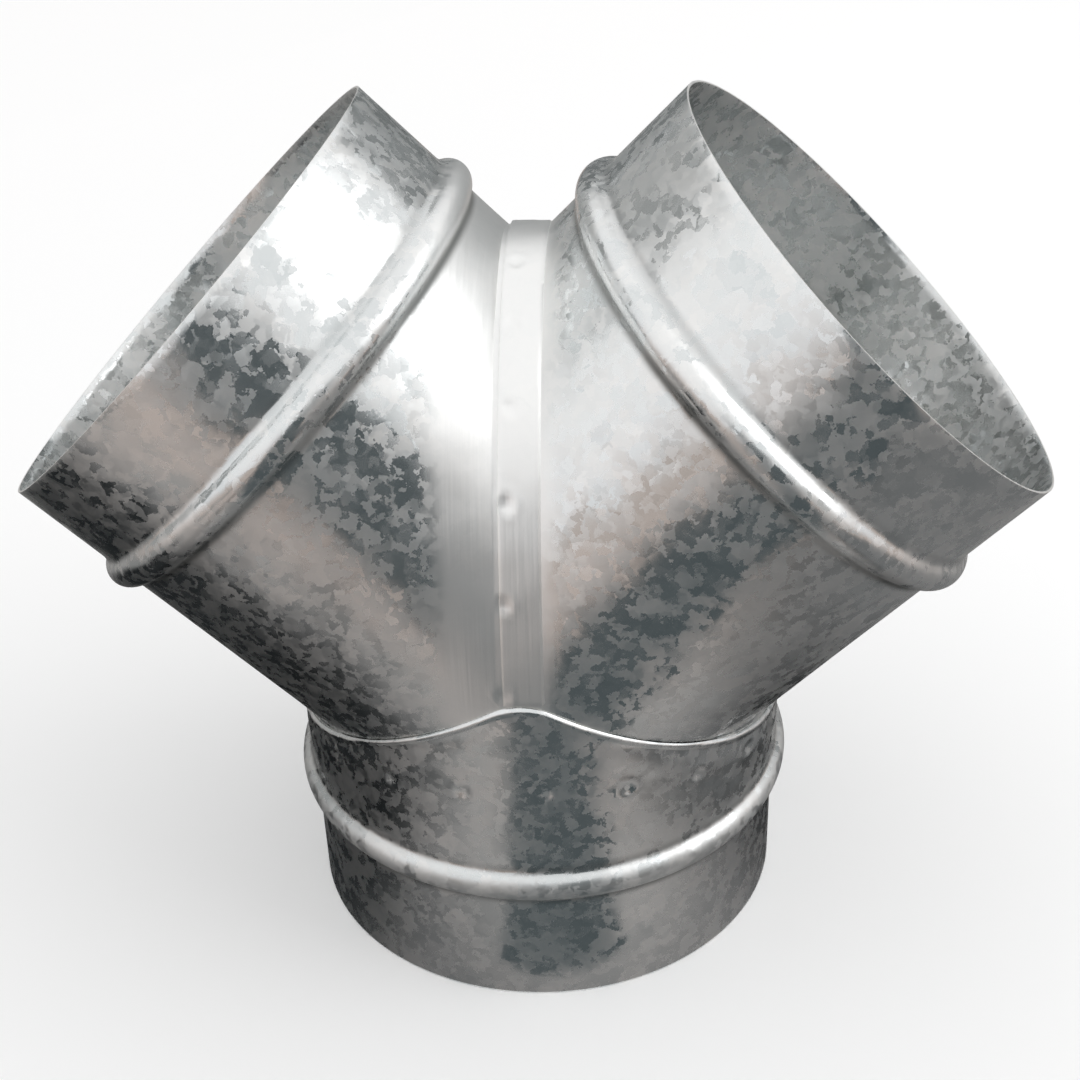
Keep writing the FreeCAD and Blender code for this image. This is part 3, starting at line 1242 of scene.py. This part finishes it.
@dataclass(frozen=True)
class Flag:
    """A plain upright glowing card beside the object, which only the gloss of the metal sees: a painted reflection.
    """

    name: str
    bearing: float
    distance: float
    width: float
    low: float
    high: float
    shade: Colour

    def shape(self) -> bmesh.types.BMesh:
        """Stand a square up at its place.

        Returns:
            The card's shape.
        """
        mesh = bmesh.new()
        bmesh.ops.create_grid(mesh, x_segments=1, y_segments=1, size=0.5)
        tall = self.high - self.low
        turn = Matrix.Rotation(math.radians(self.bearing), 4, "Z")
        stand = Matrix.Rotation(math.pi / 2, 4, "X")
        size = Matrix.Diagonal((self.width, tall, 1, 1))
        move = Matrix.Translation((0, -self.distance, self.low + tall / 2))
        bmesh.ops.transform(mesh, matrix=turn @ move @ stand @ size, verts=mesh.verts)
        return mesh


@dataclass(frozen=True)
class Studio:
    """Plain pale floor, soft light, and graded glowing cards that only the gloss of the metal sees: painted
    reflections of a darker room, with painted shadows and painted light in them.
    """

    floor_half: float = 6.0
    floor_colour: Colour = (0.94, 0.94, 0.94)
    far_floor: Colour = (0.995, 0.995, 0.995)
    floor_until: float = 0.1
    far_floor_from: float = 0.6
    floor_roughness: float = 0.9
    floor_specular: float = 0.1
    card_radius: float = 1.7
    card_steps: int = 96
    card_lift: float = 0.0005
    wall_height: float = 0.85
    bright_bearing: float = math.radians(30)
    bright_until: float = 0.03
    ramp_middle: float = 0.5
    shaded_from: float = 0.09
    shaded_to: float = 0.15
    # Painted light inside the trunk's footprint, which lights the insides of the openings
    inside_from: float = 0.071
    inside_to: float = 0.074
    inside_shade: Colour = (0.62, 0.60, 0.56)
    # Painted shadow on the right and under each branch
    right_shade: Colour = (0.185, 0.185, 0.185)
    under_branch: float = 0.122
    under_reach: float = 0.055
    under_depth: float = 0.42
    behind_from: float = 0.05
    behind_to: float = 0.17
    beside_from: float = -0.30
    beside_to: float = -0.42
    open_shade: Colour = (0.27, 0.265, 0.26)
    far_from: float = 0.4
    far_to: float = 1.3
    far_shade: Colour = (0.58, 0.492, 0.447)
    # Painted reflection of the floor: darker toward the back left, lighter toward the front right as if lit from
    # there
    floor_stops: Tuple[Tuple[float, Colour], ...] = (
        (0.35, (0.015, 0.017, 0.018)),
        (0.50, (0.024, 0.026, 0.027)),
        (0.52, (0.06, 0.061, 0.061)),
        (0.545, (0.165, 0.162, 0.162)),
        (0.60, (0.38, 0.365, 0.355)),
        (0.75, (0.55, 0.467, 0.427)),
    )
    # Painted reflection of the walls, warm at the foot and white at the top
    wall_stops: Tuple[Tuple[float, Colour], ...] = (
        (0.0, (0.58, 0.492, 0.447)),
        (0.22, (0.70, 0.65, 0.63)),
        (0.45, (0.95, 0.94, 0.95)),
        (1.0, (1.0, 1.0, 1.0)),
    )
    # Glowing cards, painted reflections of darker parts of the room
    flags: Tuple[Flag, ...] = (
        Flag("front_flag", 13, 1.6, 1.06, 0.0, 0.79, (0.10, 0.115, 0.12)),
        Flag("right_flag", 50, 1.25, 0.75, 0.0, 0.58, (0.52, 0.51, 0.50)),
        Flag("left_flag", -117, 1.15, 1.55, 0.0, 1.25, (0.36, 0.365, 0.36)),
        Flag("back_flag", 180, 1.15, 1.2, 0.0, 1.02, (0.19, 0.20, 0.20)),
        Flag("back_right_flag", 143, 1.1, 0.94, 0.0, 0.96, (0.27, 0.28, 0.28)),
    )
    # Painted shadow on the floor in front, seen only in reflections
    wedge_bearing: float = math.radians(7.5)
    wedge_half: float = math.radians(17.5)
    wedge_near: float = 0.082
    wedge_far: float = 1.6
    wedge_lift: float = 0.001
    wedge_shade: Colour = (0.09, 0.105, 0.11)
    lamp_place: Tuple[float, float, float] = (1.22, -0.25, 1.0)
    lamp_aim: Tuple[float, float, float] = (0.0, 0.0, 0.12)
    lamp_size: float = 1.1
    lamp_power: float = 4.6

    def floor(self) -> None:
        """Lay the pale floor."""
        mesh = bmesh.new()
        bmesh.ops.create_grid(mesh, x_segments=1, y_segments=1, size=self.floor_half)
        plate = self.stand_in("floor", mesh)
        bench = NodeBench("pale_floor")
        place = bench.add("ShaderNodeTexCoord").outputs["Object"]
        away = bench.add("ShaderNodeVectorMath", {0: place}, operation="LENGTH").outputs["Value"]
        share = bench.sum("DIVIDE", away, self.floor_half)
        pale = bench.ramp(share, [(self.floor_until, self.floor_colour), (self.far_floor_from, self.far_floor)])
        bench.feed(bench.shader.inputs["Base Color"], pale)
        bench.shader.inputs["Roughness"].default_value = self.floor_roughness
        bench.shader.inputs["Specular IOR Level"].default_value = self.floor_specular
        plate.data.materials.append(bench.material)

    def stand_in(self, name: str, mesh: bmesh.types.BMesh) -> bpy.types.Object:
        """Put a thing of the studio into the scene.

        Args:
            name: Its name.
            mesh: Its shape.

        Returns:
            The thing.
        """
        data = bpy.data.meshes.new(name)
        mesh.to_mesh(data)
        mesh.free()
        thing = bpy.data.objects.new(name, data)
        bpy.context.scene.collection.objects.link(thing)
        return thing

    def card(self, name: str, mesh: bmesh.types.BMesh, bench: NodeBench, shade: Value) -> None:
        """Make a glowing card that only the gloss of the metal sees: a painted reflection.

        Args:
            name: The card's name.
            mesh: Its shape.
            bench: The bench of its material.
            shade: Its shade, a colour or an output socket.
        """
        card = self.stand_in(name, mesh)
        card.visible_camera = False
        card.visible_diffuse = False
        card.visible_transmission = False
        card.visible_shadow = False
        glow = bench.add("ShaderNodeEmission", {"Color": shade})
        bench.feed(bench.tree.nodes["Material Output"].inputs["Surface"], glow.outputs[0])
        card.data.materials.append(bench.material)

    def floor_card(self) -> None:
        """Lay a graded glowing card on the floor, a painted reflection of it: dark close behind, warm in front,
        painted shadows on the right and under each branch, and painted light inside the trunk.
        """
        mesh = bmesh.new()
        bmesh.ops.create_circle(mesh, cap_ends=True, segments=self.card_steps, radius=self.card_radius)
        bmesh.ops.translate(mesh, verts=mesh.verts, vec=(0, 0, self.card_lift))
        bench = NodeBench("graded_floor_card")
        place = bench.add("ShaderNodeTexCoord").outputs["Object"]
        split = bench.add("ShaderNodeSeparateXYZ", {"Vector": place})
        across = split.outputs["X"]
        side = bench.sum("MULTIPLY", bench.sum("MINIMUM", across, self.bright_until),
                         math.sin(self.bright_bearing))
        side = bench.sum("MULTIPLY_ADD", split.outputs["Y"], -math.cos(self.bright_bearing), side)
        share = bench.sum("ADD", side, self.ramp_middle)
        near = bench.ramp(share, self.floor_stops)
        # Painted shadow on the right
        shaded = bench.remap(across, self.shaded_from, self.shaded_to, 0.0, 1.0)
        shade = bench.blend(shaded, near, (*self.right_shade, 1))
        # Painted shadow under each branch
        under = bench.near(bench.sum("ABSOLUTE", across), self.under_branch, self.under_reach)
        shade = bench.blend(bench.sum("MULTIPLY", under, self.under_depth), shade, (0.0, 0.0, 0.0, 1))
        behind = bench.remap(split.outputs["Y"], self.behind_from, self.behind_to, 0.0, 1.0)
        beside = bench.remap(across, self.beside_from, self.beside_to, 0.0, 1.0)
        shade = bench.blend(bench.sum("MAXIMUM", behind, beside), shade, (*self.open_shade, 1))
        away = bench.add("ShaderNodeVectorMath", {0: place}, operation="LENGTH").outputs["Value"]
        far = bench.remap(away, self.far_from, self.far_to, 0.0, 1.0)
        shade = bench.blend(far, shade, (*self.far_shade, 1))
        # Painted light inside the trunk
        inside = bench.remap(away, self.inside_to, self.inside_from, 0.0, 1.0)
        self.card("floor_card", mesh, bench, bench.blend(inside, shade, (*self.inside_shade, 1)))

    def wall_card(self) -> None:
        """Stand a graded glowing card all round, warm at its foot and white at its top: a painted reflection of the
        room's walls.
        """
        mesh = bmesh.new()
        bmesh.ops.create_cone(mesh, cap_ends=False, segments=self.card_steps, radius1=self.card_radius,
                              radius2=self.card_radius, depth=self.wall_height)
        bmesh.ops.translate(mesh, verts=mesh.verts, vec=(0, 0, self.wall_height / 2))
        bench = NodeBench("graded_wall_card")
        place = bench.add("ShaderNodeTexCoord").outputs["Object"]
        height = bench.add("ShaderNodeSeparateXYZ", {"Vector": place}).outputs["Z"]
        share = bench.sum("DIVIDE", height, self.wall_height)
        self.card("wall_card", mesh, bench, bench.ramp(share, self.wall_stops))

    def wedge_card(self) -> None:
        """Lay a dark card on the floor that widens from the object to the card in front: a painted shadow, seen only
        in reflections.
        """
        mesh = bmesh.new()
        bmesh.ops.create_grid(mesh, x_segments=1, y_segments=1, size=1)
        for vert in mesh.verts:
            away = self.wedge_near if vert.co.y > 0 else self.wedge_far
            vert.co = (vert.co.x * away * math.tan(self.wedge_half), -away, self.wedge_lift)
        turn = Matrix.Rotation(self.wedge_bearing, 4, "Z")
        bmesh.ops.transform(mesh, matrix=turn, verts=mesh.verts)
        self.card("wedge_card", mesh, NodeBench("wedge_card"), (*self.wedge_shade, 1))

    def flag_cards(self) -> None:
        """Stand the plain dark glowing cards up, painted reflections of the room."""
        for flag in self.flags:
            self.card(flag.name, flag.shape(), NodeBench(flag.name), (*flag.shade, 1))

    def sky(self) -> None:
        """White all round, for the camera, the gloss and the floor alike."""
        world = bpy.data.worlds.new("studio")
        bpy.context.scene.world = world
        world.use_nodes = True
        back = world.node_tree.nodes["Background"]
        back.inputs["Color"].default_value = (1, 1, 1, 1)
        back.inputs["Strength"].default_value = 1.0

    def lamp(self) -> None:
        """Hang one soft square lamp."""
        data = bpy.data.lights.new("key", "AREA")
        data.shape = "SQUARE"
        data.size = self.lamp_size
        data.energy = self.lamp_power
        place = Vector(self.lamp_place)
        lamp = bpy.data.objects.new("key", data)
        lamp.location = place
        lamp.rotation_euler = (Vector(self.lamp_aim) - place).to_track_quat("-Z", "Y").to_euler()
        bpy.context.scene.collection.objects.link(lamp)


@dataclass(frozen=True)
class PhotoCamera:
    """Camera at the photograph's place, turned a little about its own line of sight."""

    place: Tuple[float, float, float] = (0.0351, -0.4340, 0.3745)
    aim: Tuple[float, float, float] = (0.00074, 0.00605, 0.1130)
    roll: float = math.radians(-2.126)
    lens: float = 54.64
    sensor: float = 36.0

    def set_up(self) -> None:
        """Put the camera in the scene."""
        data = bpy.data.cameras.new("photo_camera")
        data.lens = self.lens
        data.sensor_width = self.sensor
        camera = bpy.data.objects.new("photo_camera", data)
        camera.location = self.place
        turn = (Vector(self.aim) - Vector(self.place)).to_track_quat("-Z", "Y").to_matrix()
        camera.rotation_euler = (turn @ Matrix.Rotation(self.roll, 3, "Z")).to_euler()
        bpy.context.scene.collection.objects.link(camera)
        bpy.context.scene.camera = camera


def main() -> None:
    """Build the sheets, the studio and the camera in order."""
    logging.basicConfig(level=logging.INFO)
    rows = WeldRows()
    branch_finish = GalvanisedSheet("galvanised_branch", Streaks.SEAM, BeadFeet.of_branch(SIZES)).material()
    collar_finish = GalvanisedSheet("galvanised_collar", Streaks.NONE, BeadFeet.of_trunk(SIZES),
                                    crest_darkening=0.22).material()
    edge_finish = CutEdge().material()
    left = BranchSheet("left_branch_sheet", "left_branch", side=Side.LEFT, welds=rows.seam())
    right = BranchSheet("right_branch_sheet", "right_branch", side=Side.RIGHT, welds=rows.seam())
    collar = CollarSheet("trunk_collar_sheet", "trunk_collar", welds=rows.collar())
    for sheet, finish in ((left, branch_finish), (right, branch_finish), (collar, collar_finish)):
        sheet.dress(sheet.build(), finish, edge_finish)
    studio = Studio()
    studio.floor()
    studio.floor_card()
    studio.wall_card()
    studio.wedge_card()
    studio.flag_cards()
    studio.sky()
    studio.lamp()
    PhotoCamera().set_up()
    bpy.context.scene.view_settings.view_transform = "Standard"


if __name__ == "__main__":
    main()
